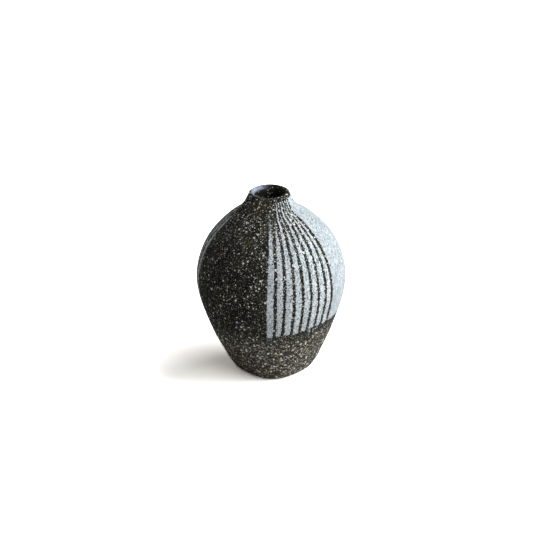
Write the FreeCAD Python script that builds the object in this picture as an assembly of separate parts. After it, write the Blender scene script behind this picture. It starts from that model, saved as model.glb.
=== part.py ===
import FreeCAD, Part
import math
import os

# Small hand-built stoneware bottle vase, in millimetres.
# Origin: centre of the foot, on the plane it stands on. +Z up, -Y is the front.
# Azimuths are degrees round +Z, counted from the front (-Y) towards +X.

# ---- Driving dimensions ------------------------------------------------------------

HEIGHT = 120.0
BELLY_RADIUS = 47.8
BELLY_HEIGHT = 64.5
FOOT_RADIUS = 22.0          # flat the vase stands on
FOOT_ROUND = 2.4            # height of the rounded foot edge
LIP_CREST_RADIUS = 11.7     # the rim's highest circle
RIM_ROUND = 1.5             # radius that turns the rim over, outside the crest
RIM_LEAN = 22.0             # how far the neck leans in where the rim starts, in degrees
THROAT_RADIUS = 9.5         # inside the glazed throat
THROAT_BOTTOM = 110.2

BASE_THICKNESS = 5.2        # the slab that the wall stands on
FLOOR_RADIUS = 21.0         # flat part of the floor inside
WALL_THICKNESS = 4.0
NECK_JOINT_HEIGHT = 106.5   # where the neck collar is luted to the wall
GLAZE_THICKNESS = 0.25      # satin liner glaze, inside
SLIP_THICKNESS = 0.3        # brushed slip, outside

# The foot is a soft square: four faint ridges run up from it and fade out at the slip.
SQUARENESS = 0.046          # part of the radius, at the foot
RIDGE_AZIMUTH = -1.0

# Slip decoration. Bare clay lines part the bands, and a bare quarter parts the panels.
PANEL_AZIMUTH = -3.9        # edge of the front panel
FIRST_LINE_AZIMUTH = 2.7    # middle of the first bare line
LINE_PITCH = 7.0
LINE_WIDTH = 2.7
BAND_COUNT = 8
REAR_PANEL_AZIMUTH = -74.0  # edge of the rear panel, a mirror image of the front one
SLIP_BOTTOM = 37.8
BAND_TOP = 106.0
FIELD_TOP = 117.0

SECTION_POINTS = 16         # points round each lofted section
SLAB_STEPS = 8              # sections up each softly square piece
LOWER_WALL_STEPS = 7
HALVINGS = 50               # enough to find a place on a curve exactly
AZIMUTH_TO_ANGLE = -90.0    # azimuth 0 is -Y, and angle 0 is +X

CREST_HEIGHT = HEIGHT - GLAZE_THICKNESS     # top of the clay, under the glaze
RIM_CENTRE_HEIGHT = CREST_HEIGHT - RIM_ROUND
RIM_START = (
    LIP_CREST_RADIUS + RIM_ROUND * math.cos(math.radians(RIM_LEAN)),
    RIM_CENTRE_HEIGHT + RIM_ROUND * math.sin(math.radians(RIM_LEAN)),
)

# Outer form from the foot to the rim: (radius, height), before the squareness.
OUTER_PROFILE = [
    (FOOT_RADIUS, 0.0),
    (24.2, 0.9),
    (25.4, FOOT_ROUND),
    (28.3, 7.2),
    (31.7, 14.4),
    (36.2, 24.0),
    (41.2, 36.0),
    (45.2, 48.0),
    (BELLY_RADIUS, BELLY_HEIGHT),
    (43.0, 84.0),
    (37.1, 93.6),
    (30.4, 100.8),
    (24.9, 105.6),
    (21.8, 107.6),
    (19.0, 109.6),
    (16.2, 112.8),
    (14.2, 116.2),
    RIM_START,
]

# Underside of the shoulder, between the wall's inside and the throat
SHOULDER_UNDERSIDE = [(14.4, 107.4), (10.6, 108.8)]
BARE_THROAT_RADIUS = THROAT_RADIUS + GLAZE_THICKNESS
THROAT_TOP = CREST_HEIGHT - (LIP_CREST_RADIUS - BARE_THROAT_RADIUS)
FLOOR_CORNER_HEIGHT = 2.0 * BASE_THICKNESS


# ---- Form --------------------------------------------------------------------------

def point(radius, height):
    return FreeCAD.Vector(radius, 0.0, height)


def profile_curve():
    """Outer form as one smooth curve in the XZ plane."""
    curve = Part.BSplineCurve()
    curve.interpolate([point(*place) for place in OUTER_PROFILE])
    return curve


OUTER_CURVE = profile_curve()


def place_at_height(curve, height):
    """Parameter of a rising curve at a height, found by halving."""
    low, high = curve.FirstParameter, curve.LastParameter
    for _ in range(HALVINGS):
        middle = 0.5 * (low + high)
        if curve.value(middle).z < height:
            low = middle
        else:
            high = middle
    return 0.5 * (low + high)


def outer_radius(height):
    return OUTER_CURVE.value(place_at_height(OUTER_CURVE, height)).x


def inward_from_outside(height, depth):
    """Place a depth below the outer surface, square to it, as (radius, height)."""
    parameter = place_at_height(OUTER_CURVE, height)
    surface = OUTER_CURVE.value(parameter)
    along = OUTER_CURVE.tangent(parameter)[0]
    return surface.x - depth * along.z, surface.z + depth * along.x


def squareness(height):
    """How square a section is: most at the foot, nothing from the slip's edge up."""
    left = max(0.0, 1.0 - height / SLIP_BOTTOM)
    return SQUARENESS * left * left * (3.0 - 2.0 * left)


def section(height):
    """Closed section of the outer form at a height."""
    points = []
    for i in range(SECTION_POINTS):
        turn = 2.0 * math.pi * i / SECTION_POINTS
        radius = outer_radius(height) * (1.0 + squareness(height) * math.cos(4.0 * turn))
        angle = math.radians(RIDGE_AZIMUTH + AZIMUTH_TO_ANGLE) + turn
        points.append(FreeCAD.Vector(radius * math.cos(angle), radius * math.sin(angle), height))
    curve = Part.BSplineCurve()
    curve.interpolate(Points=points, PeriodicFlag=True)
    return Part.Wire([curve.toShape()])


def square_form(low, high, steps):
    """Solid that fills the softly square outer form between two heights."""
    heights = [low + (high - low) * i / steps for i in range(steps + 1)]
    return Part.makeLoft([section(height) for height in heights], True, False)


def line(start, end):
    return Part.LineSegment(point(*start), point(*end)).toShape()


def arc(start, middle, end):
    return Part.Arc(point(*start), point(*middle), point(*end)).toShape()


def revolve(edges, start=0.0, end=360.0):
    """Solid turned round the Z axis from an outline in the XZ plane, between azimuths."""
    origin = FreeCAD.Vector(0, 0, 0)
    axis = FreeCAD.Vector(0, 0, 1)
    face = Part.Face(Part.Wire(Part.sortEdges(edges)[0]))
    face.rotate(origin, axis, start + AZIMUTH_TO_ANGLE)
    return face.revolve(origin, axis, end - start)


def quarter_turn(centre, radius, start, end):
    """Arc round a centre in the XZ plane between two angles, in degrees from +X."""
    def place(angle):
        turn = math.radians(angle)
        return centre[0] + radius * math.cos(turn), centre[1] + radius * math.sin(turn)
    return arc(place(start), place(0.5 * (start + end)), place(end))


def inside_curve(shift):
    """Inside of the clay from the floor's edge up to the throat, moved inwards by shift."""
    wall = [
        inward_from_outside(height, WALL_THICKNESS + shift)
        for _, height in OUTER_PROFILE
        if FLOOR_CORNER_HEIGHT < height < NECK_JOINT_HEIGHT
    ]
    corner = inward_from_outside(FLOOR_CORNER_HEIGHT, WALL_THICKNESS + shift)
    underside = [(radius - shift, height - shift) for radius, height in SHOULDER_UNDERSIDE]
    places = [(FLOOR_RADIUS, BASE_THICKNESS + shift), corner] + wall + underside
    places.append((BARE_THROAT_RADIUS - shift, THROAT_BOTTOM))
    curve = Part.BSplineCurve()
    curve.interpolate([point(*place) for place in places])
    return curve


def throat_edges(shift):
    """Throat and the lip's inner slope, moved inwards by shift."""
    throat = BARE_THROAT_RADIUS - shift
    slope_centre = (LIP_CREST_RADIUS, THROAT_TOP)
    return [
        line((throat, THROAT_BOTTOM), (throat, THROAT_TOP)),
        quarter_turn(slope_centre, LIP_CREST_RADIUS - throat, 180.0, 90.0),
    ]


def stretch(curve, low, high):
    """Part of a rising curve between two heights."""
    part = curve.copy()
    part.segment(place_at_height(curve, low), place_at_height(curve, high))
    return part


def ends(curve):
    """First and last place on a curve, as (radius, height)."""
    return [(place.x, place.z) for place in (curve.StartPoint, curve.EndPoint)]


def lower_hollow():
    """Solid inside the lower wall, carried on past both of its ends."""
    top = SLIP_BOTTOM + WALL_THICKNESS
    inside = stretch(inside_curve(0.0), BASE_THICKNESS, top)
    edges = [
        line((0.0, 0.0), (FLOOR_RADIUS, 0.0)),
        line((FLOOR_RADIUS, 0.0), (FLOOR_RADIUS, BASE_THICKNESS)),
        inside.toShape(),
        line(ends(inside)[1], (0.0, top)),
        line((0.0, top), (0.0, 0.0)),
    ]
    return revolve(edges)


# ---- Clay pieces -------------------------------------------------------------------

def base_slab():
    """Slab with a rounded edge that the vase stands on."""
    return square_form(0.0, BASE_THICKNESS, SLAB_STEPS)


def lower_wall():
    """Wall from the slab to the slip's edge, round inside and softly square outside."""
    return square_form(BASE_THICKNESS, SLIP_BOTTOM, LOWER_WALL_STEPS).cut(lower_hollow())


def upper_wall():
    """Wall round the belly and the shoulder, up to the neck joint."""
    outside = stretch(OUTER_CURVE, SLIP_BOTTOM, NECK_JOINT_HEIGHT)
    inside = stretch(inside_curve(0.0), SLIP_BOTTOM, NECK_JOINT_HEIGHT)
    edges = [outside.toShape(), inside.toShape()]
    edges += [line(inner, outer) for inner, outer in zip(ends(inside), ends(outside))]
    return revolve(edges)


def neck_collar():
    """Ring that makes the neck: cylindrical throat and a rounded lip sloping inwards."""
    outside = stretch(OUTER_CURVE, NECK_JOINT_HEIGHT, RIM_START[1])
    inside = stretch(inside_curve(0.0), NECK_JOINT_HEIGHT, THROAT_BOTTOM)
    rim_centre = (LIP_CREST_RADIUS, RIM_CENTRE_HEIGHT)
    edges = [
        outside.toShape(),
        quarter_turn(rim_centre, RIM_ROUND, RIM_LEAN, 90.0),
        inside.toShape(),
        line(ends(inside)[0], ends(outside)[0]),
    ]
    return revolve(edges + throat_edges(0.0))


# ---- Glaze and slip ----------------------------------------------------------------

def liner_glaze():
    """Glaze film over the floor, the wall's inside, the throat and the lip's slope."""
    glazed_floor = BASE_THICKNESS + GLAZE_THICKNESS
    edges = [
        line((0.0, BASE_THICKNESS), (FLOOR_RADIUS, BASE_THICKNESS)),
        inside_curve(0.0).toShape(),
        line((LIP_CREST_RADIUS, CREST_HEIGHT), (LIP_CREST_RADIUS, HEIGHT)),
        inside_curve(GLAZE_THICKNESS).toShape(),
        line((0.0, glazed_floor), (FLOOR_RADIUS, glazed_floor)),
        line((0.0, BASE_THICKNESS), (0.0, glazed_floor)),
    ]
    return revolve(edges + throat_edges(0.0) + throat_edges(GLAZE_THICKNESS))


def slip_strip(start, end, top):
    """Slip on the outer form between two azimuths, from its lower edge up to top."""
    heights = [SLIP_BOTTOM] + [h for _, h in OUTER_PROFILE if SLIP_BOTTOM < h < top] + [top]
    outside = [inward_from_outside(height, -SLIP_THICKNESS) for height in heights]
    on_clay = stretch(OUTER_CURVE, SLIP_BOTTOM, top)
    on_air = Part.BSplineCurve()
    on_air.interpolate([point(*place) for place in outside])
    edges = [on_clay.toShape(), on_air.toShape()]
    edges += [line(clay, air) for clay, air in zip(ends(on_clay), ends(on_air))]
    return revolve(edges, start, end)


def band_edges():
    """Azimuths of the front panel's bands, as (start, end)."""
    half_line = 0.5 * LINE_WIDTH
    lines = [FIRST_LINE_AZIMUTH + LINE_PITCH * i for i in range(BAND_COUNT)]
    starts = [PANEL_AZIMUTH] + [azimuth + half_line for azimuth in lines[:-1]]
    ends = [azimuth - half_line for azimuth in lines]
    return list(zip(starts, ends))


def mirrored(azimuth):
    """Azimuth mirrored across the middle of the bare quarter."""
    return PANEL_AZIMUTH + REAR_PANEL_AZIMUTH - azimuth


def slip_bands_front():
    """Separate upright bands of slip right of the bare quarter."""
    return Part.makeCompound([slip_strip(start, end, BAND_TOP) for start, end in band_edges()])


def slip_bands_rear():
    """The same bands, mirrored, left of the bare quarter."""
    bands = [slip_strip(mirrored(end), mirrored(start), BAND_TOP) for start, end in band_edges()]
    return Part.makeCompound(bands)


def slip_field():
    """Unbroken slip over the rest of the wall, up the neck to the rim."""
    start = band_edges()[-1][1] + LINE_WIDTH
    return slip_strip(start, mirrored(start) + 360.0, FIELD_TOP)


# ---- Output ------------------------------------------------------------------------

NODES = {
    "base_slab": base_slab,
    "lower_wall": lower_wall,
    "upper_wall": upper_wall,
    "neck_collar": neck_collar,
    "liner_glaze": liner_glaze,
    "slip_bands_front": slip_bands_front,
    "slip_bands_rear": slip_bands_rear,
    "slip_field": slip_field,
}


def solids_only(shape):
    """The shape as a compound of its solids."""
    return Part.makeCompound(shape.Solids)


os.makedirs("parts", exist_ok=True)
for node, make in NODES.items():
    shape = solids_only(make())
    shape.exportStep(os.path.join("parts", node + ".step"))
    box = shape.BoundBox
    print(node, len(shape.Solids), "solids", round(shape.Volume, 1), "mm3",
          "valid", shape.isValid(), "z", round(box.ZMin, 2), round(box.ZMax, 2),
          "x", round(box.XMin, 2), round(box.XMax, 2))
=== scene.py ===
import math

import bpy
import numpy as np
from mathutils import Matrix, Vector
from mathutils.bvhtree import BVHTree


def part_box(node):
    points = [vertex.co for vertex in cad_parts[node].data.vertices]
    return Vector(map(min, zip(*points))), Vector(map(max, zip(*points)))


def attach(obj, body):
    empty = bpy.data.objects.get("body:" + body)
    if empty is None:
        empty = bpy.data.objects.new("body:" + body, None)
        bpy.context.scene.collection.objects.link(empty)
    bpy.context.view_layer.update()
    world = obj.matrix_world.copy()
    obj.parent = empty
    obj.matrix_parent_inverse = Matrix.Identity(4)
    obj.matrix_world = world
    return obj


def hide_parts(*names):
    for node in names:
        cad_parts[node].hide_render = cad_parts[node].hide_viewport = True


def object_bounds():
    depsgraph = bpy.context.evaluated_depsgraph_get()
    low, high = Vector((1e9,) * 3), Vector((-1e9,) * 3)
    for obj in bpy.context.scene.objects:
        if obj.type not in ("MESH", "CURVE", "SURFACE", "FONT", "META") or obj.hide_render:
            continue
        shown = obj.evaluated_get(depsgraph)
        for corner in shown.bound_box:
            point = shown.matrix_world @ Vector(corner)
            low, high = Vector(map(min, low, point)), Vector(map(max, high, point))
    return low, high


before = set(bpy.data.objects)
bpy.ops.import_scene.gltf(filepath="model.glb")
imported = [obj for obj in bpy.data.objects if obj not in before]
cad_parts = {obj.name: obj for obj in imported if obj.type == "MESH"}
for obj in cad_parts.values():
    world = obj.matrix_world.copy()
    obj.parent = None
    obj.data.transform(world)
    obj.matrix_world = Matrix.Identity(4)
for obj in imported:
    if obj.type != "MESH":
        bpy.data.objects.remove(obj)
cad_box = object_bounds()

# A hand-built stoneware bottle vase. Its form is read from the CAD nodes with rays, and
# each visible piece is a closed mesh on that form, with the relief of hand-built clay.
# Azimuths are degrees round +Z, counted from the front (-Y) towards +X.

MM = 0.001
CLAY_NODES = ("base_slab", "lower_wall", "upper_wall", "neck_collar")

HEIGHT = cad_box[1][2]
SLAB_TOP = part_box("base_slab")[1][2]
SLIP_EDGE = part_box("upper_wall")[0][2]
NECK_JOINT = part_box("neck_collar")[0][2]
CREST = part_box("neck_collar")[1][2]

AZIMUTH_TO_ANGLE = -90.0      # azimuth 0 is -Y, and angle 0 is +X

# Slip layout, as azimuths: the same values as the CAD bands
PANEL_AZIMUTH = -3.9          # upright edge of the front panel
FIRST_LINE = 2.7              # middle of the first bare line
LINE_PITCH = 7.0
BAND_COUNT = 8
REAR_PANEL_AZIMUTH = -74.0    # edge of the rear panel, a mirror image of the front one

INNER_GAP = 0.25 * MM         # thickness of the liner glaze on the wall
INSIDE_FROM = 0.3 * MM        # height over the slab where the glazed inside starts


# ---- The form, read from the frame ----------------------------------------------------

FORM_ROWS = 300               # heights where the form is sampled
FORM_TURNS = 24               # directions in which it is sampled at each height
FORM_PASSES = 6               # smoothing of its curves
END_MARGIN = 0.02 * MM        # keeps the samples off the form's very ends


def around(turns):
    """Angles evenly spaced round the axis."""
    return np.arange(turns) * 2.0 * math.pi / turns


def search_tree(names):
    """One ray-casting tree over some CAD nodes."""
    points, faces = [], []
    for name in names:
        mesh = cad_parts[name].data
        first = len(points)
        points += [vertex.co.copy() for vertex in mesh.vertices]
        faces += [[first + i for i in polygon.vertices] for polygon in mesh.polygons]
    return BVHTree.FromPolygons(points, faces)


def ray_radius(tree, angle, height, outside):
    """Radius where a level ray meets the tree, from outside or from the axis."""
    out = Vector((math.cos(angle), math.sin(angle), 0.0))
    base = Vector((0.0, 0.0, height))
    if outside:
        hit = tree.ray_cast(base + out * HEIGHT, -out)[0]
    else:
        hit = tree.ray_cast(base, out)[0]
    return math.hypot(hit.x, hit.y) if hit else 0.0


def smooth(values, passes):
    """Evens out the facets of a sampled curve, keeping both ends."""
    for _ in range(passes):
        values[1:-1] = 0.25 * values[:-2] + 0.5 * values[1:-1] + 0.25 * values[2:]
    return values


class Form:
    """Radius of a surface by height and angle: a round part and a soft-square part."""

    def __init__(self, tree, low, high, outside):
        share = 0.5 - 0.5 * np.cos(np.linspace(0.0, math.pi, FORM_ROWS))
        self.heights = low + END_MARGIN + (high - low - 2.0 * END_MARGIN) * share
        angles = around(FORM_TURNS)
        table = np.array([
            [ray_radius(tree, angle, height, outside) for angle in angles]
            for height in self.heights
        ])
        self.round = smooth(table.mean(1), FORM_PASSES)
        self.cosine = smooth(2.0 * (table * np.cos(4.0 * angles)).mean(1), FORM_PASSES)
        self.sine = smooth(2.0 * (table * np.sin(4.0 * angles)).mean(1), FORM_PASSES)

    def radius(self, height, angle):
        """Distance of the surface from the axis."""
        parts = [np.interp(height, self.heights, part)
                 for part in (self.round, self.cosine, self.sine)]
        return parts[0] + parts[1] * np.cos(4.0 * angle) + parts[2] * np.sin(4.0 * angle)


outside = Form(search_tree(CLAY_NODES), 0.0, CREST, outside=True)
inside = Form(search_tree(("liner_glaze",)), SLAB_TOP + INSIDE_FROM, HEIGHT, outside=False)

# How a hand-built wall strays from its true form, in mm: at each height, how far the axis
# has drifted to the right and how far the outside swells
STRAY = [
    (0.0, 0.35, 0.0), (12.0, 0.3, 0.1), (24.0, 0.0, 0.45), (42.0, 0.0, 0.15), (66.0, 0.0, 0.0),
    (90.0, 0.15, -0.1), (102.0, 0.0, -0.45), (109.5, -0.3, -0.55), (115.0, 0.0, -0.1),
]
DRIFT_COLUMN = 1
SWELLING_COLUMN = 2
SWELLING_PASSES = 40          # smoothing, so that the swelling has no corners

RIM_TILT = 0.8 * MM           # how much higher the far side of the hand-cut rim stands
TILT_FROM = HEIGHT - 16.0 * MM    # height where the tilt starts


def stray(height, column):
    """Drift or swelling of the hand-built wall at some heights."""
    heights = [row[0] * MM for row in STRAY]
    return np.interp(height, heights, [row[column] * MM for row in STRAY])


outside.round += smooth(stray(outside.heights, SWELLING_COLUMN), SWELLING_PASSES)


# ---- Relief --------------------------------------------------------------------------

BRUSHED = (1.0, 1.0, 0.12)    # scales that stretch a pattern upright, like brush marks


def lattice_value(cell, seed):
    """Repeatable value from 0 to 1 for each whole-number cell."""
    x, y, z = (cell[..., i].astype(np.int64) for i in range(3))
    # the large numbers only scatter the values of neighbouring cells
    mix = (x * 73856093) ^ (y * 19349663) ^ (z * 83492791) ^ (seed * 2654435761)
    mix = (mix ^ (mix >> 13)) * 1274126177
    mix = mix ^ (mix >> 16)
    return (mix & 0xFFFFF) / float(0xFFFFF)


def noise(points, size, seed):
    """Smooth value noise from -1 to 1, with features about as wide as size."""
    scaled = points / size
    cell = np.floor(scaled)
    part = scaled - cell
    part = part * part * (3.0 - 2.0 * part)
    total = np.zeros(points.shape[:-1])
    for corner in np.ndindex(2, 2, 2):
        weight = np.ones(points.shape[:-1])
        for axis in range(3):
            weight = weight * (part[..., axis] if corner[axis] else 1.0 - part[..., axis])
        total += weight * lattice_value(cell + np.array(corner), seed)
    return 2.0 * total - 1.0


def grains(points, size, seed):
    """Round grains from 0 to 1, one in each cell of the given size, placed at random."""
    scaled = points / size
    cell = np.floor(scaled)
    nearest = np.zeros(points.shape[:-1])
    for step in np.ndindex(3, 3, 3):
        other = cell + np.array(step) - 1.0
        centre = other + 0.2 + 0.6 * np.stack(
            [lattice_value(other, seed + axis) for axis in range(3)], -1)
        reach = 0.2 + 0.3 * lattice_value(other, seed + 3)
        gap = np.linalg.norm(scaled - centre, axis=-1) / reach
        nearest = np.maximum(nearest, np.clip(1.0 - gap * gap, 0.0, 1.0))
    return nearest


def hand_marks(points):
    """Broad unevenness of a wall shaped by hand, which the slip follows too."""
    return 0.16 * MM * noise(points, 26.0 * MM, 1) + 0.07 * MM * noise(points, 7.0 * MM, 2)


def clay_relief(points):
    """Height of the bare clay over the form: hand marks, tooth, proud grog and pits."""
    relief = hand_marks(points)
    relief += 0.035 * MM * noise(points, 2.2 * MM, 3)
    relief += 0.09 * MM * grains(points, 3.4 * MM, 4)
    relief -= 0.10 * MM * grains(points, 2.9 * MM, 9)
    return relief


def slip_relief(points):
    """The same clay under slip that fills its small marks, with upright brush marks."""
    relief = hand_marks(points)
    relief += 0.05 * MM * grains(points, 3.4 * MM, 4)
    stretched = points * np.array(BRUSHED)
    relief += 0.02 * MM * noise(stretched, 1.1 * MM, 14)
    return relief


# ---- Mesh building ---------------------------------------------------------------------

NEAR_AXIS = 1.0e-6            # metres: least distance from the axis that is divided by
SHARP_ANGLE = 50.0            # degrees between faces that shade as a sharp edge
CURVE_SAMPLES = 2000          # enough to measure the length of a profile closely
HIDDEN_PITCH = 4.0 * MM       # spacing of the rows where the clay is out of sight


def place(radius, angle, height):
    """Points at a distance from the axis, an angle round it and a height."""
    return np.stack([radius * np.cos(angle), radius * np.sin(angle),
                     np.broadcast_to(height, np.shape(radius))], -1)


def handmade(points):
    """The points with the axis drifting a little and the far side of the neck drawn up."""
    points = np.array(points, dtype=float)
    share = np.clip((points[:, 2] - TILT_FROM) / (HEIGHT - TILT_FROM), 0.0, 1.0)
    reach = np.maximum(np.hypot(points[:, 0], points[:, 1]), NEAR_AXIS)
    points[:, 0] += stray(points[:, 2], DRIFT_COLUMN)
    points[:, 2] += RIM_TILT * share * share * (0.5 + 0.5 * points[:, 1] / reach)
    return points


def new_piece(name, points, faces, node, material):
    """Makes a mesh object, rides it on the root body and lets it stand for a CAD node."""
    points = handmade(points)
    mesh = bpy.data.meshes.new(name)
    mesh.from_pydata([tuple(p) for p in points], [], faces)
    mesh.update()
    mesh.materials.append(material)
    piece = bpy.data.objects.new(name, mesh)
    bpy.context.scene.collection.objects.link(piece)
    mesh.shade_smooth()
    mesh.set_sharp_from_angle(angle=math.radians(SHARP_ANGLE))
    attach(piece, "root")
    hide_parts(node)
    return piece


def grid_faces(rows, columns, wrap_rows, wrap_columns, first=0):
    """Quads of a grid of points, in order, joined end to end where asked."""
    faces = []
    for i in range(rows if wrap_rows else rows - 1):
        k = (i + 1) % rows
        for j in range(columns if wrap_columns else columns - 1):
            m = (j + 1) % columns
            faces.append((first + i * columns + j, first + i * columns + m,
                          first + k * columns + m, first + k * columns + j))
    return faces


def steps(low, high, pitch):
    """Evenly spaced values from low to high, about pitch apart."""
    return np.linspace(low, high, max(2, int(round(abs(high - low) / pitch)) + 1))


def profile_heights(form, low, high, pitch):
    """Heights spaced evenly along the surface, so that slopes get their share."""
    fine = np.linspace(low, high, CURVE_SAMPLES)
    radii = form.radius(fine, 0.0)
    run = np.concatenate([[0.0], np.cumsum(np.hypot(np.diff(fine), np.diff(radii)))])
    count = max(3, int(round(run[-1] / pitch)) + 1)
    return np.interp(np.linspace(0.0, run[-1], count), run, fine)


def outer_rows(heights, angles):
    """Rows of points on the outer form with clay relief."""
    height, angle = np.meshgrid(heights, angles, indexing="ij")
    points = place(outside.radius(height, angle), angle, height)
    radius = outside.radius(height, angle) + clay_relief(points)
    return place(radius, angle, height)


def inner_rows(heights, angles, shift):
    """Rows of points on the inner form, moved away from the axis by shift."""
    height, angle = np.meshgrid(heights, angles, indexing="ij")
    return place(inside.radius(height, angle) + shift, angle, height)


def clay_ring(name, node, low, high, pitch, turns, material):
    """Closed ring of clay between two heights: fine outside, plain where it's hidden."""
    angles = around(turns)
    outer = outer_rows(profile_heights(outside, low, high, pitch), angles)
    inner_low = max(low, inside.heights[0])
    inner = inner_rows(steps(high, inner_low, HIDDEN_PITCH), angles, INNER_GAP)
    inner[-1, :, 2] = low
    rows = np.concatenate([outer, inner])
    faces = grid_faces(len(rows), turns, True, True)
    return new_piece(name, rows.reshape(-1, 3), faces, node, material)


def capped(name, node, rows, material):
    """Closed solid from rows of points round the axis, with a fan at both ends."""
    count, turns = rows.shape[:2]
    points = list(rows.reshape(-1, 3))
    points += [(0.0, 0.0, rows[0, :, 2].mean()), (0.0, 0.0, rows[-1, :, 2].mean())]
    faces = grid_faces(count, turns, False, True)
    first, last = count * turns, count * turns + 1
    for j in range(turns):
        k = (j + 1) % turns
        faces.append((first, k, j))
        faces.append((last, (count - 1) * turns + j, (count - 1) * turns + k))
    return new_piece(name, points, faces, node, material)


# ---- Materials -------------------------------------------------------------------------

class Shader:
    """A material with one Principled shader, and short ways to add its nodes."""

    def __init__(self, name):
        self.material = bpy.data.materials.new(name)
        self.material.use_nodes = True
        self.tree = self.material.node_tree
        self.principled = self.tree.nodes["Principled BSDF"]
        self.coordinates = self.node("ShaderNodeTexCoord").outputs["Object"]

    def node(self, kind, **settings):
        made = self.tree.nodes.new(kind)
        for key, value in settings.items():
            setattr(made, key, value)
        return made

    def put(self, socket, value):
        """Links another node's output to a socket, or sets its value."""
        if isinstance(value, bpy.types.NodeSocket):
            self.tree.links.new(value, socket)
        else:
            socket.default_value = value

    def math(self, operation, a, b):
        made = self.node("ShaderNodeMath", operation=operation)
        self.put(made.inputs[0], a)
        self.put(made.inputs[1], b)
        return made.outputs[0]

    def vector(self, operation, a, b):
        made = self.node("ShaderNodeVectorMath", operation=operation)
        self.put(made.inputs[0], a)
        self.put(made.inputs[1], b)
        return made.outputs[0]

    def noise(self, size, detail, roughness=0.55, stretch=(1.0, 1.0, 1.0), shift=0.0):
        """Noise from 0 to 1 with features about as wide as size, in metres."""
        scale = tuple(s / size for s in stretch)
        where = self.vector("MULTIPLY", self.coordinates, scale)
        where = self.vector("ADD", where, (shift, shift, shift))
        made = self.node("ShaderNodeTexNoise")
        self.put(made.inputs["Vector"], where)
        self.put(made.inputs["Scale"], 1.0)
        self.put(made.inputs["Detail"], detail)
        self.put(made.inputs["Roughness"], roughness)
        return made.outputs["Fac"]

    def ramp(self, value, low, high, start=0.0, end=1.0):
        """Smooth step of value from low to high, as start to end."""
        made = self.node("ShaderNodeMapRange", interpolation_type="SMOOTHSTEP")
        for key, number in zip(("Value", "From Min", "From Max", "To Min", "To Max"),
                               (value, low, high, start, end)):
            self.put(made.inputs[key], number)
        return made.outputs["Result"]

    def mix(self, share, first, second):
        """Colour that goes from first to second as share goes from 0 to 1."""
        made = self.node("ShaderNodeMix", data_type="RGBA")
        self.put(made.inputs["Factor"], share)
        for socket, value in ((made.inputs[6], first), (made.inputs[7], second)):
            if isinstance(value, tuple) and len(value) == 3:
                value = value + (1.0,)
            self.put(socket, value)
        return made.outputs[2]

    def specks(self, kind):
        """Angular specks of a kind: (mask from 0 to 1, a random value for each speck)."""
        cell, smallest, largest, share, shift, raggedness = SPECKS[kind]
        scaled = self.vector("MULTIPLY", self.coordinates, (1.0 / (cell * MM),) * 3)
        scaled = self.vector("ADD", scaled, (shift, 1.7 * shift, 0.6 * shift))
        ragged = self.node("ShaderNodeTexNoise")
        self.put(ragged.inputs["Vector"], scaled)
        self.put(ragged.inputs["Scale"], 2.3)
        self.put(ragged.inputs["Detail"], 1.0)
        bend = self.vector("SUBTRACT", ragged.outputs["Color"], (0.5, 0.5, 0.5))
        bend = self.vector("MULTIPLY", bend, (raggedness,) * 3)
        cells = self.node("ShaderNodeTexVoronoi", feature="F1")
        self.put(cells.inputs["Vector"], self.vector("ADD", scaled, bend))
        self.put(cells.inputs["Scale"], 1.0)
        random = self.node("ShaderNodeSeparateColor")
        self.put(random.inputs[0], cells.outputs["Color"])
        reach = self.math("MULTIPLY", random.outputs[1], (largest - smallest) / cell)
        reach = self.math("ADD", reach, smallest / cell)
        depth = self.math("SUBTRACT", reach, cells.outputs["Distance"])
        edge = self.ramp(depth, 0.0, SPECK_EDGE)
        chosen = self.math("LESS_THAN", random.outputs[0], share)
        return self.math("MULTIPLY", edge, chosen), random.outputs[2]

    def bump(self, height, distance, before=None):
        """Normal of a surface that rises by distance where height is 1."""
        made = self.node("ShaderNodeBump")
        self.put(made.inputs["Height"], height)
        self.put(made.inputs["Distance"], distance)
        self.put(made.inputs["Strength"], 1.0)
        if before is not None:
            self.put(made.inputs["Normal"], before)
        return made.outputs["Normal"]

    def finish(self, colour, roughness, normal, specular):
        """Links the Principled shader's inputs and gives the finished material."""
        self.put(self.principled.inputs["Base Color"], colour)
        self.put(self.principled.inputs["Roughness"], roughness)
        self.put(self.principled.inputs["Normal"], normal)
        self.put(self.principled.inputs["Specular IOR Level"], specular)
        return self.material

    def along_axis(self, axis):
        """Place along X, Y or Z (0, 1 or 2), in metres."""
        made = self.node("ShaderNodeSeparateXYZ")
        self.put(made.inputs[0], self.coordinates)
        return made.outputs[axis]

    def height_above_foot(self):
        return self.along_axis(2)

    def to_the_right(self):
        return self.along_axis(0)


# Kinds of specks, all sizes in mm: the cell that holds one speck at most, the smallest and
# the largest radius, the share of cells that hold one, a shift that sets the pattern apart
# from the others, and how ragged the outlines are
SPECKS = {
    "tan": (1.9, 0.45, 0.95, 0.80, 31.0, 0.45),
    "medium": (1.25, 0.25, 0.54, 0.66, 11.0, 0.45),
    "coarse": (2.5, 0.42, 0.80, 0.46, 17.0, 0.60),
    "big": (3.4, 0.60, 1.10, 0.68, 41.0, 0.45),
    "chips": (7.0, 0.55, 1.00, 0.42, 53.0, 0.12),
    "grit": (2.2, 0.35, 0.85, 0.70, 27.0, 0.40),
    "dark": (1.2, 0.25, 0.52, 0.74, 23.0, 0.30),
    "white": (1.35, 0.22, 0.46, 0.50, 29.0, 0.15),
    "freckles": (1.4, 0.25, 0.55, 0.75, 13.0, 0.30),
}
SPECK_EDGE = 0.08             # softness of a speck's outline, as a part of its cell

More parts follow.
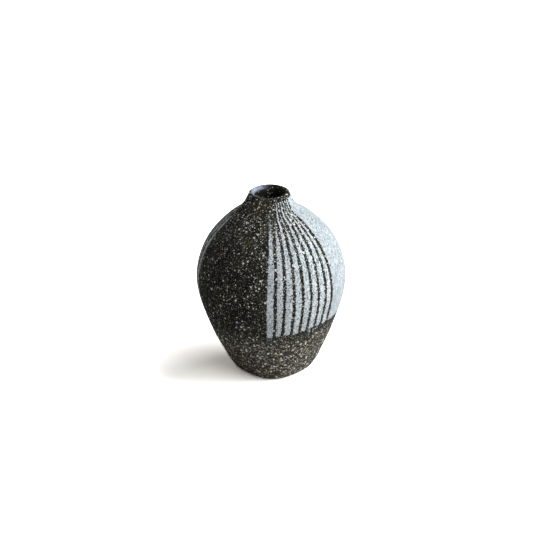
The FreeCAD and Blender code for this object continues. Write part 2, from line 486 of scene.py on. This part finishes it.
CLAY_DARK = (0.0052, 0.0051, 0.0036)
CLAY_WARM = (0.0165, 0.0155, 0.0105)
CLAY_LOW = (0.050, 0.047, 0.038)
CLAY_GREY = (0.135, 0.128, 0.106)
OLIVE = (0.042, 0.037, 0.011)
TAN = (0.33, 0.265, 0.175)
CREAM = (0.84, 0.78, 0.64)
WHITE_GROG = (0.92, 0.93, 0.90)
FINE_GROG = ((0.12, 0.11, 0.085), (0.80, 0.78, 0.72))
MEDIUM_GROG = ((0.26, 0.235, 0.165), WHITE_GROG)
COARSE_GROG = (CREAM, WHITE_GROG)

# painted light and painted shade: the panel's wash is lighter and the field's darker, though both
# are the same slip, for how the light falls on the front and on the right
PANEL_WASH_PAINTED_LIGHT = ((0.61, 0.665, 0.69), (0.76, 0.81, 0.835))
FIELD_WASH_PAINTED_SHADE = ((0.47, 0.52, 0.55), (0.58, 0.63, 0.66))
SLIP_STREAK = (0.36, 0.39, 0.41)
SLIP_CLOUD = (0.24, 0.255, 0.26)
SLIP_MOTTLE = (0.22, 0.25, 0.26)
SLIP_GRIT = ((0.16, 0.18, 0.185), (0.90, 0.92, 0.92))
SLIP_DARK = ((0.03, 0.03, 0.027), (0.30, 0.31, 0.31))
SLIP_WHITE = (0.88, 0.89, 0.89)

CLEAR_GLAZE = ((0.006, 0.006, 0.006), (0.018, 0.017, 0.014))
# painted highlight: the bluish white that stands in for the window's light on the left of the lip's
# slope
PAINTED_HIGHLIGHT_BLUE = ((0.18, 0.22, 0.275), (0.33, 0.38, 0.45))
FRECKLE = ((0.07, 0.062, 0.045), (0.62, 0.58, 0.48))

# Heights where a change of surface starts and where it is complete
FOOT_CLAY = (SLIP_EDGE + 5.0 * MM, SLIP_EDGE - 12.0 * MM)
NECK_CLAY = (HEIGHT - 36.0 * MM, HEIGHT - 14.0 * MM)
MOTTLED_SLIP = (HEIGHT - 65.0 * MM, HEIGHT - 32.0 * MM)
GRITTY_SLIP = (HEIGHT - 70.0 * MM, HEIGHT - 32.0 * MM)
# the painted highlight on the lip's slope spans these heights
LIP_SLOPE = (HEIGHT - 2.6 * MM, HEIGHT - 0.9 * MM)


def clay_body(shader, low_down, high_up):
    """Colour of the clay between its grog: dark, greyer at the foot, olive near the neck."""
    blotch = shader.ramp(shader.noise(7.0 * MM, detail=4.0), 0.35, 0.72)
    colour = shader.mix(blotch, CLAY_DARK, CLAY_WARM)
    colour = shader.mix(shader.math("MULTIPLY", low_down, 0.75), colour, CLAY_LOW)
    tint = shader.ramp(shader.noise(11.0 * MM, detail=3.0, shift=12.0), 0.46, 0.66)
    tint = shader.math("MULTIPLY", tint, shader.ramp(high_up, 0.0, 0.6, 0.5, 0.85))
    left = shader.ramp(shader.to_the_right(), 3.0 * MM, -8.0 * MM, 0.25, 1.0)
    colour = shader.mix(shader.math("MULTIPLY", tint, left), colour, OLIVE)
    grain = shader.ramp(shader.noise(0.75 * MM, detail=2.0, shift=3.0), 0.50, 0.78)
    grain = shader.math("MULTIPLY", grain, shader.ramp(low_down, 0.0, 1.0, 0.3, 1.0))
    return shader.mix(grain, colour, CLAY_GREY)


def clay_colour(shader):
    """Speckled dark clay: (colour, mask of its fine, medium and coarse grog)."""
    height = shader.height_above_foot()
    low_down = shader.ramp(height, *FOOT_CLAY)
    high_up = shader.ramp(height, *NECK_CLAY)
    colour = clay_body(shader, low_down, high_up)
    tan, _ = shader.specks("tan")
    colour = shader.mix(shader.math("MULTIPLY", tan, low_down), colour, TAN)

    fine = shader.noise(0.62 * MM, detail=1.0, roughness=0.7, shift=5.0)
    fine = shader.ramp(fine, 0.635, 0.685)
    fine_random = shader.ramp(shader.noise(1.0 * MM, detail=1.0, shift=15.0), 0.35, 0.65)
    colour = shader.mix(fine, colour, shader.mix(fine_random, *FINE_GROG))

    medium, medium_random = shader.specks("medium")
    crowd = shader.ramp(shader.noise(3.4 * MM, detail=2.0, shift=19.0), 0.42, 0.60, 0.05, 1.0)
    keep = shader.math("MAXIMUM", low_down, shader.math("MULTIPLY", high_up, 0.9))
    medium = shader.math("MULTIPLY", medium, shader.math("MAXIMUM", crowd, keep))
    colour = shader.mix(medium, colour, shader.mix(medium_random, *MEDIUM_GROG))

    coarse, coarse_random = shader.specks("coarse")
    big, big_random = shader.specks("big")
    big = shader.math("MULTIPLY", big, low_down)
    chips, chip_random = shader.specks("chips")
    for mask, random in ((coarse, coarse_random), (big, big_random), (chips, chip_random)):
        colour = shader.mix(mask, colour, shader.mix(random, *COARSE_GROG))
    grog = shader.math("MAXIMUM", shader.math("MAXIMUM", fine, medium), coarse)
    return colour, grog


def clay_material():
    """Bare speckled clay, matt, with a dry tooth and proud grog."""
    shader = Shader("dark_speckled_clay")
    colour, grog = clay_colour(shader)
    tooth = shader.noise(0.5 * MM, detail=3.0, shift=7.0)
    roughness = shader.ramp(tooth, 0.3, 0.7, 0.70, 0.95)
    normal = shader.bump(tooth, 0.12 * MM)
    normal = shader.bump(grog, 0.06 * MM, before=normal)
    return shader.finish(colour, roughness, normal, specular=0.12)


def slip_colour(shader, wash_with_painted_light_and_shade, brushed):
    """Colour of whole slip: a brushed wash with streaks, clouds and specks of its own."""
    height = shader.height_above_foot()
    wash = shader.noise(6.0 * MM, detail=4.0, shift=2.0)
    colour = shader.mix(shader.ramp(wash, 0.3, 0.7), *wash_with_painted_light_and_shade)
    streak = shader.math("MULTIPLY", shader.ramp(brushed, 0.42, 0.72), 0.30)
    colour = shader.mix(streak, colour, SLIP_STREAK)
    cloud = shader.ramp(shader.noise(0.9 * MM, detail=2.0, shift=9.0), 0.46, 0.70)
    colour = shader.mix(shader.math("MULTIPLY", cloud, 0.55), colour, SLIP_CLOUD)
    mottle = shader.ramp(shader.noise(1.9 * MM, detail=3.0, shift=25.0), 0.48, 0.66)
    mottle = shader.math("MULTIPLY", mottle, shader.ramp(height, *MOTTLED_SLIP, 0.1, 0.75))
    colour = shader.mix(mottle, colour, SLIP_MOTTLE)
    grit, grit_random = shader.specks("grit")
    grit = shader.math("MULTIPLY", grit, shader.ramp(height, *GRITTY_SLIP, 0.5, 1.0))
    colour = shader.mix(grit, colour, shader.mix(grit_random, *SLIP_GRIT))
    dark, dark_random = shader.specks("dark")
    dark = shader.math("MULTIPLY", dark, 0.9)
    colour = shader.mix(dark, colour, shader.mix(dark_random, *SLIP_DARK))
    white, _ = shader.specks("white")
    return shader.mix(shader.math("MULTIPLY", white, 0.85), colour, SLIP_WHITE)


def slip_material(name, bare, bare_when_gone, wash_with_painted_light_and_shade):
    """Brushed slip over speckled clay.

    bare and bare_when_gone set how much clay shows where the cover is 1 and where it is 0.
    """
    shader = Shader(name)
    clay_under, _ = clay_colour(shader)
    brushed = shader.noise(1.2 * MM, detail=3.0, stretch=BRUSHED, shift=4.0)
    colour = slip_colour(shader, wash_with_painted_light_and_shade, brushed)
    cover = shader.node("ShaderNodeAttribute", attribute_name="cover").outputs["Fac"]
    patchy = shader.noise(0.70 * MM, detail=2.0, roughness=0.65, stretch=(1.0, 1.0, 0.7), shift=6.0)
    limit = shader.ramp(cover, 0.0, 1.0, bare_when_gone, bare)
    worn = shader.ramp(shader.math("SUBTRACT", limit, patchy), -0.03, 0.03)
    colour = shader.mix(worn, colour, clay_under)
    tooth = shader.noise(0.45 * MM, detail=3.0, shift=8.0)
    roughness = shader.ramp(tooth, 0.3, 0.7, 0.70, 0.92)
    normal = shader.bump(brushed, 0.06 * MM)
    normal = shader.bump(tooth, 0.09 * MM, before=normal)
    normal = shader.bump(worn, -0.06 * MM, before=normal)
    return shader.finish(colour, roughness, normal, specular=0.3)


def glaze_material():
    """Satin liner glaze: clear over the dark freckled clay, with a painted bluish highlight on the
    left of the lip's slope.
    """
    shader = Shader("satin_liner_glaze")
    pool = shader.ramp(shader.noise(4.0 * MM, detail=3.0), 0.35, 0.65)
    colour = shader.mix(pool, *CLEAR_GLAZE)
    freckles, freckle_random = shader.specks("freckles")
    colour = shader.mix(freckles, colour, shader.mix(freckle_random, *FRECKLE))
    # painted highlight: bluish white on the lip's slope, strongest on its left side, where the
    # window's light falls
    slope = shader.ramp(shader.height_above_foot(), *LIP_SLOPE)
    left = shader.ramp(shader.to_the_right(), 1.0 * MM, -8.0 * MM, 0.0, 0.9)
    painted_highlight = shader.math("MULTIPLY", slope, left)
    colour = shader.mix(painted_highlight, colour, shader.mix(pool, *PAINTED_HIGHLIGHT_BLUE))
    ripple = shader.noise(1.2 * MM, detail=2.0, shift=5.0)
    duller = shader.ramp(shader.to_the_right(), -6.0 * MM, 0.0, 0.0, 0.42)
    roughness = shader.ramp(ripple, 0.3, 0.7, 0.26, 0.42)
    roughness = shader.math("ADD", roughness, duller)
    normal = shader.bump(ripple, 0.04 * MM)
    normal = shader.bump(freckles, 0.03 * MM, before=normal)
    return shader.finish(colour, roughness, normal, specular=0.35)


clay = clay_material()
# the panel's lighter slip is painted light and the field's darker slip is painted shade; both are
# one slip
panel_slip_painted_light = slip_material("panel_slip_painted_light", 0.40, 0.64, PANEL_WASH_PAINTED_LIGHT)
field_slip_painted_shade = slip_material("field_slip_painted_shade", 0.32, 0.56, FIELD_WASH_PAINTED_SHADE)
glaze = glaze_material()


# ---- Clay pieces -----------------------------------------------------------------------

# Spacing of the rows of points up each piece, and the number of points round it
BASE_MESH = (0.40 * MM, 420)
LOWER_WALL_MESH = (0.42 * MM, 600)
UPPER_WALL_MESH = (0.62 * MM, 520)
NECK_MESH = (0.35 * MM, 320)
NECK_INNER_PITCH = 0.8 * MM
UNDER_CREST = 0.1 * MM        # keeps the inner rows of the neck just under its crest


def flat_ring(ring, share, height):
    """The ring of points drawn in to a share of its size and laid flat at a height."""
    flat = ring * share
    flat[:, 2] = height
    return flat


def make_base():
    """Slab with its rounded, softly square edge and a flat underside."""
    pitch, turns = BASE_MESH
    outer = outer_rows(profile_heights(outside, 0.0, SLAB_TOP, pitch), around(turns))
    outer[0, :, 2] = 0.0
    underside = [flat_ring(outer[0], share, 0.0) for share in (0.25, 0.5, 0.75, 0.92)]
    rows = np.concatenate([underside, outer, [flat_ring(outer[-1], 0.5, SLAB_TOP)]])
    return capped("clay_base", "base_slab", rows, clay)


def make_neck():
    """Collar with the rounded lip, down to the joint, with its inner side under glaze."""
    pitch, turns = NECK_MESH
    angles = around(turns)
    outer = outer_rows(profile_heights(outside, NECK_JOINT, CREST, pitch), angles)
    heights = profile_heights(inside, NECK_JOINT, CREST - UNDER_CREST, NECK_INNER_PITCH)
    inner = inner_rows(heights[::-1], angles, INNER_GAP)
    rows = np.concatenate([outer, inner])
    faces = grid_faces(len(rows), turns, True, True)
    return new_piece("clay_neck", rows.reshape(-1, 3), faces, "neck_collar", clay)


make_base()
clay_ring("clay_lower_wall", "lower_wall", SLAB_TOP, SLIP_EDGE, *LOWER_WALL_MESH, clay)
clay_ring("clay_upper_wall", "upper_wall", SLIP_EDGE, NECK_JOINT, *UPPER_WALL_MESH, clay)
make_neck()


# ---- Liner glaze -----------------------------------------------------------------------

LINER_TURNS = 256
LIP_PITCH = 0.4 * MM          # spacing of the liner's rows down the lip and the throat
BELLY_PITCH = 2.5 * MM        # and further down, where it's out of sight
LINER_TOP = HEIGHT - 0.05 * MM


def make_liner():
    """Thin closed film from the lip's crest down the throat and over the floor."""
    angles = around(LINER_TURNS)
    low = inside.heights[0]
    heights = np.concatenate([
        profile_heights(inside, NECK_JOINT, LINER_TOP, LIP_PITCH)[::-1],
        steps(NECK_JOINT - 2.0 * MM, low, BELLY_PITCH),
    ])
    air = inner_rows(heights, angles, 0.0)
    radial = np.linalg.norm(air[..., :2], axis=-1)
    ripple = 0.05 * MM * noise(air, 4.0 * MM, 21) + 0.02 * MM * noise(air, 1.4 * MM, 22)
    air[..., :2] *= ((radial - ripple) / radial)[..., None]
    clay_side = inner_rows(heights[::-1], angles, INNER_GAP)
    clay_side[0, :, 2] = SLAB_TOP
    rows = np.concatenate([clay_side, air])
    return capped("liner_glaze_film", "liner_glaze", rows, glaze)


make_liner()


# ---- Slip ------------------------------------------------------------------------------

SLIP_PROUD = 0.13 * MM        # how far the slip stands over the clay
SLIP_SUNK = 0.22 * MM         # how far its hidden side lies under the clay's surface
LINE_GAP = 1.35 * MM          # width of the bare lines between the worn sides of the bands
LAST_GAP = 2.0 * MM           # width of the line next to the unbroken field
SMEAR_FROM = HEIGHT - 14.0 * MM   # above here the slip is smeared and most lines close up
SMEAR_RUN = 5.0 * MM
SMEAR_SHARE = 0.6             # share of a line's width that the smearing closes
FIRST_SMEARED = 2             # number of the first line that is smeared
LEAN = 0.053                  # lean of the lines, in degrees of azimuth for each mm of height
LEAN_CENTRE = 66.0            # height in mm where a line stands at its nominal azimuth
LINE_WANDER = 0.22            # degrees that a line strays from straight
LEAST_BAND = 0.36 * MM        # half the width of a band where the lines crowd at the neck
EDGE_WEAR = 0.80 * MM         # how far in from its sides a band is worn
FOOT_WEAR = 1.3 * MM          # how far up from its lower edge the slip is worn
SIDE_COVER = 0.15             # how whole the slip still is at a band's sides
WORN_SHARE = 0.35             # most of a narrow band's width that is worn from either side
EDGE_CLIMB = 4.3 * MM         # how far the lower edge climbs on the right
CLIMB_FROM = -8.0             # azimuth where it starts to climb
CLIMB_SPAN = 56.0             # degrees over which it climbs
EDGE_FALL = 3.5 * MM          # how far it comes down again behind
FALL_FROM = 80.0
FALL_SPAN = 60.0

BAND_PITCH = 0.45 * MM        # spacing of the rows of points up the bands
BAND_COLUMNS = 11
FIELD_PITCH = 0.62 * MM
FIELD_COLUMNS = 240
FRONT_SEED = 100
REAR_SEED = 400
FIELD_SEED = 300

# Each band, from the panel's edge: the heights in mm where it starts to wear and where it
# has worn down, and the cover left from there up. The first two end below the rim.
BAND_WEAR = [
    (98, 113, 0.0), (97, 112, 0.0), (107, 117, 0.62), (96, 110, 0.5),
    (105, 115, 0.62), (98, 110, 0.5), (100, 112, 0.55), (108, 117, 0.75),
]
BAND_TOP = HEIGHT - 2.6 * MM
FIELD_TOP = HEIGHT - 2.2 * MM
NO_WEAR = (HEIGHT, HEIGHT + 1.0 * MM, 1.0)    # it would start above the slip


def slip_bottom(azimuth):
    """Hand-drawn lower edge: it climbs towards the right and comes down behind."""
    share = np.clip((azimuth - CLIMB_FROM) / CLIMB_SPAN, 0.0, 1.0)
    climb = EDGE_CLIMB * share * share * (3.0 - 2.0 * share)
    fall = EDGE_FALL * np.clip((azimuth - FALL_FROM) / FALL_SPAN, 0.0, 1.0)
    turned = np.radians(azimuth)
    waver = 0.25 * MM * np.sin(5.3 * turned + 0.4) + 0.2 * MM * np.sin(13.0 * turned)
    return SLIP_EDGE + 0.1 * MM + climb - fall + waver


def along(place_on_line, size, seed):
    """Noise from -1 to 1 along a line."""
    still = np.zeros_like(place_on_line)
    return noise(np.stack([still, still, place_on_line], -1), size, seed)


def lean(height):
    """Degrees of azimuth by which an upright line has leaned at a height."""
    return LEAN * (height / MM - LEAN_CENTRE)


def line_sides(k, height, seed):
    """Both sides of bare line k, as azimuths: steady width, hand-cut and ragged."""
    radius = outside.radius(height, 0.0)
    middle = FIRST_LINE + LINE_PITCH * k + lean(height)
    middle = middle + LINE_WANDER * along(height, 22.0 * MM, seed + 40 + k)
    gap = LAST_GAP if k == BAND_COUNT - 1 else LINE_GAP
    if k >= FIRST_SMEARED:
        gap = gap * (1.0 - SMEAR_SHARE * np.clip((height - SMEAR_FROM) / SMEAR_RUN, 0.0, 1.0))
    sides = []
    for side in (-1, 1):
        ragged = 0.08 * MM * along(height, 2.6 * MM, seed + 50 + 2 * k + side)
        ragged = ragged + 0.25 * MM * along(height, 1.0 * MM, seed + 80 + 2 * k + side)
        sides.append(middle + np.degrees((side * 0.5 * gap + ragged) / radius))
    return sides


def panel_side(height, seed):
    """The panel's own upright edge, drawn along a guide."""
    radius = outside.radius(height, 0.0)
    ragged = 0.10 * MM * along(height, 2.4 * MM, seed + 31)
    ragged = ragged + 0.10 * MM * along(height, 0.9 * MM, seed + 32)
    return PANEL_AZIMUTH + lean(height) + np.degrees(ragged / radius)


def band_sides(k, seed):
    """Function that gives both sides of band k at some heights."""
    def sides(height):
        left = panel_side(height, seed) if k == 0 else line_sides(k - 1, height, seed)[1]
        right = line_sides(k, height, seed)[0]
        middle = 0.5 * (left + right)
        least = np.degrees(LEAST_BAND / outside.radius(height, 0.0))
        half = np.maximum(0.5 * (right - left), least)
        return middle - half, middle + half
    return sides


def mirrored(azimuth):
    """The same place in the rear panel, which mirrors the front one."""
    return PANEL_AZIMUTH + REAR_PANEL_AZIMUTH - azimuth


def field_sides(height):
    """Both sides of the unbroken field, from the front panel round to the rear one."""
    left = line_sides(BAND_COUNT - 1, height, FRONT_SEED)[1]
    right = mirrored(line_sides(BAND_COUNT - 1, height, REAR_SEED)[1]) + 360.0
    return left, right


def slip_cover(across, width, height, bottom, wear):
    """How whole the slip is, from 0 to 1.

    It is less at the sides and the lower edge, and falls between the first two heights of
    wear to the share that wear gives last.
    """
    inset = width * np.minimum(across, 1.0 - across)
    cover = np.clip(inset / np.minimum(EDGE_WEAR, WORN_SHARE * width), 0.0, 1.0)
    cover = SIDE_COVER + (1.0 - SIDE_COVER) * cover
    cover = cover * np.clip(SIDE_COVER + (height - bottom) / FOOT_WEAR, 0.0, 1.0)
    low, high, left_over = wear
    whole = np.clip((high - height) / (high - low), 0.0, 1.0)
    return cover * (left_over + (1.0 - left_over) * whole)


def strip(sides, top, wear, seed, pitch, columns, mirror=False):
    """Outer grid, hidden grid and cover of one strip of slip."""
    across = np.linspace(0.0, 1.0, columns)
    climb = profile_heights(outside, SLIP_EDGE, top, pitch)
    climb = ((climb - climb[0]) / (climb[-1] - climb[0]))[:, None]
    left, right = sides(np.full(1, SLIP_EDGE))
    azimuth = left + (right - left) * across
    # both ends waver along the strip, with a degree taken as long as a millimetre
    bottom = slip_bottom(azimuth)
    bottom = bottom + 0.45 * MM * along(azimuth * MM, 1.7 * MM, seed + 5)
    ceiling = top + 0.2 * MM * along(azimuth * MM, 2.5 * MM, seed + 6)
    height = bottom + (ceiling - bottom) * climb
    left, right = sides(height)
    azimuth = left + (right - left) * across
    if mirror:
        azimuth = mirrored(azimuth)
    angle = np.radians(azimuth + AZIMUTH_TO_ANGLE)
    surface = outside.radius(height, angle)
    width = np.radians(right - left) * surface
    cover = slip_cover(across, width, height, bottom, wear)
    proud = np.full(height.shape, SLIP_PROUD)
    proud[:, [0, -1]] = 0.0
    proud[[0, -1], :] = 0.0
    relief = slip_relief(place(surface, angle, height))
    outer = place(surface + relief + proud, angle, height)
    hidden = place(surface + relief - SLIP_SUNK, angle, height)
    if mirror:
        outer, hidden, cover = outer[:, ::-1], hidden[:, ::-1], cover[:, ::-1]
    return outer, hidden, cover


def shell_faces(rows, columns, first):
    """Faces of a closed sheet between an outer and a hidden grid of the same size."""
    count = rows * columns
    faces = grid_faces(rows, columns, False, False, first)
    back = grid_faces(rows, columns, False, False, first + count)
    faces += [tuple(reversed(face)) for face in back]
    rim = list(range(columns))
    rim += [i * columns + columns - 1 for i in range(1, rows)]
    rim += [(rows - 1) * columns + j for j in range(columns - 2, -1, -1)]
    rim += [i * columns for i in range(rows - 2, 0, -1)]
    for a, b in zip(rim, rim[1:] + rim[:1]):
        faces.append((first + b, first + a, first + count + a, first + count + b))
    return faces


def make_slip(name, node, strips, material):
    """One piece from several strips, with their cover as an attribute of its points."""
    points, covers, faces = [], [], []
    first = 0
    for outer, hidden, cover in strips:
        faces += shell_faces(*cover.shape, first)
        points += [outer.reshape(-1, 3), hidden.reshape(-1, 3)]
        covers += [cover.reshape(-1), cover.reshape(-1)]
        first += 2 * cover.size
    piece = new_piece(name, np.concatenate(points), faces, node, material)
    attribute = piece.data.attributes.new("cover", "FLOAT", "POINT")
    attribute.data.foreach_set("value", np.concatenate(covers).astype(np.float32))


def make_bands(name, node, seed, mirror):
    """One panel of upright bands; those that wear away end where nothing is left."""
    strips = []
    for k, (low, high, left_over) in enumerate(BAND_WEAR):
        top = BAND_TOP if left_over else high * MM
        wear = (low * MM, high * MM, left_over)
        sides = band_sides(k, seed)
        strips.append(strip(sides, top, wear, seed + 10 * k, BAND_PITCH, BAND_COLUMNS, mirror))
    make_slip(name, node, strips, panel_slip_painted_light)


def make_field():
    """The unbroken slip over the right and the back."""
    field = strip(field_sides, FIELD_TOP, NO_WEAR, FIELD_SEED, FIELD_PITCH, FIELD_COLUMNS)
    make_slip("slip_field_coat", "slip_field", [field], field_slip_painted_shade)


make_bands("slip_panel_front", "slip_bands_front", FRONT_SEED, False)
make_bands("slip_panel_rear", "slip_bands_rear", REAR_SEED, True)
make_field()


# ---- Stage -----------------------------------------------------------------------------

FLOOR_REACH = 4.0             # metres from the vase to the floor's edges
FLOOR_SEEN = (2.56, 2.46, 2.34, 1.0)       # for the camera, which sees it as white
FLOOR_BOUNCED = (0.42, 0.415, 0.40, 1.0)   # for the light that it throws on the vase
FLOOR_GLOW = 0.08             # keeps the shadow on the floor pale
FLOOR_GLOW_COLOUR = (1.0, 0.95, 0.88, 1.0)

# Azimuth and elevation in degrees, strength, spread in degrees and colour of each light
LIGHTS = {
    "window": (102.0, 39.0, 2.75, 66.0, (0.97, 1.0, 1.03)),
    "front_window": (60.0, 16.0, 2.95, 60.0, (0.97, 1.0, 1.02)),
    "backdrop": (-128.0, 14.0, 0.46, 80.0, (1.0, 0.96, 0.88)),
}
SKY_COLOUR = (0.90, 0.95, 1.0, 1.0)
SKY_STRENGTH = 0.10


def floor_material():
    """Pale floor. It throws less light back than it shows, as in a room with dark sides."""
    material = bpy.data.materials.new("pale_floor")
    material.use_nodes = True
    tree = material.node_tree
    tree.nodes.clear()
    lit = tree.nodes.new("ShaderNodeBsdfDiffuse")
    lit.inputs["Color"].default_value = FLOOR_SEEN
    glow = tree.nodes.new("ShaderNodeEmission")
    glow.inputs["Color"].default_value = FLOOR_GLOW_COLOUR
    glow.inputs["Strength"].default_value = FLOOR_GLOW
    seen = tree.nodes.new("ShaderNodeAddShader")
    bounced = tree.nodes.new("ShaderNodeBsdfDiffuse")
    bounced.inputs["Color"].default_value = FLOOR_BOUNCED
    rays = tree.nodes.new("ShaderNodeLightPath")
    mix = tree.nodes.new("ShaderNodeMixShader")
    output = tree.nodes.new("ShaderNodeOutputMaterial")
    tree.links.new(lit.outputs[0], seen.inputs[0])
    tree.links.new(glow.outputs[0], seen.inputs[1])
    tree.links.new(rays.outputs["Is Camera Ray"], mix.inputs[0])
    tree.links.new(bounced.outputs[0], mix.inputs[1])
    tree.links.new(seen.outputs[0], mix.inputs[2])
    tree.links.new(mix.outputs[0], output.inputs["Surface"])
    return material


def make_floor():
    """Large square on the ground, which is not one of the vase's pieces."""
    far = FLOOR_REACH
    corners = [(-far, -far, 0.0), (far, -far, 0.0), (far, far, 0.0), (-far, far, 0.0)]
    mesh = bpy.data.meshes.new("floor")
    mesh.from_pydata(corners, [], [(0, 1, 2, 3)])
    mesh.materials.append(floor_material())
    floor = bpy.data.objects.new("floor", mesh)
    bpy.context.scene.collection.objects.link(floor)


def make_light(name, azimuth, elevation, strength, spread, colour):
    """Distant soft light from an azimuth and elevation, spread over an angle in degrees."""
    data = bpy.data.lights.new(name, "SUN")
    data.energy = strength
    data.angle = math.radians(spread)
    data.color = colour
    lamp = bpy.data.objects.new(name, data)
    bpy.context.scene.collection.objects.link(lamp)
    level = math.cos(math.radians(elevation))
    away = Vector((level * math.sin(math.radians(azimuth)),
                   -level * math.cos(math.radians(azimuth)),
                   math.sin(math.radians(elevation))))
    lamp.rotation_euler = away.to_track_quat("Z", "Y").to_euler()


def make_world():
    """Even, weak light from all round."""
    world = bpy.data.worlds.new("studio")
    world.use_nodes = True
    background = world.node_tree.nodes["Background"]
    background.inputs["Color"].default_value = SKY_COLOUR
    background.inputs["Strength"].default_value = SKY_STRENGTH
    bpy.context.scene.world = world


CAMERA_ELEVATION = 23.9       # degrees above the horizon
CAMERA_ROLL = 1.4             # degrees: the picture leans a little
CAMERA_DISTANCE = 8.04        # from the middle of the vase, in heights of the vase
VIEW_WIDTH = 2.857            # width of the view there, in heights of the vase
VIEW_SHIFT = (-0.0088, 0.0236)    # shift of the view, in its own widths
SENSOR_WIDTH = 36.0           # mm


def make_camera():
    """Camera in front of the vase, looking down at its middle."""
    elevation = math.radians(CAMERA_ELEVATION)
    roll = math.radians(CAMERA_ROLL)
    back = Vector((0.0, -math.cos(elevation), math.sin(elevation)))
    level_up = Vector((0.0, math.sin(elevation), math.cos(elevation)))
    level_right = Vector((1.0, 0.0, 0.0))
    up = level_up * math.cos(roll) + level_right * math.sin(roll)
    right = up.cross(back)
    data = bpy.data.cameras.new("camera")
    data.sensor_width = SENSOR_WIDTH
    data.lens = SENSOR_WIDTH * CAMERA_DISTANCE / VIEW_WIDTH
    data.shift_x, data.shift_y = VIEW_SHIFT
    camera = bpy.data.objects.new("camera", data)
    bpy.context.scene.collection.objects.link(camera)
    middle = Vector((0.0, 0.0, 0.5 * HEIGHT))
    turn = Matrix((right, up, back)).transposed().to_4x4()
    camera.matrix_world = Matrix.Translation(middle + back * CAMERA_DISTANCE * HEIGHT) @ turn
    bpy.context.scene.camera = camera


make_floor()
for name, light in LIGHTS.items():
    make_light(name, *light)
make_world()
make_camera()
bpy.context.scene.view_settings.view_transform = "Standard"
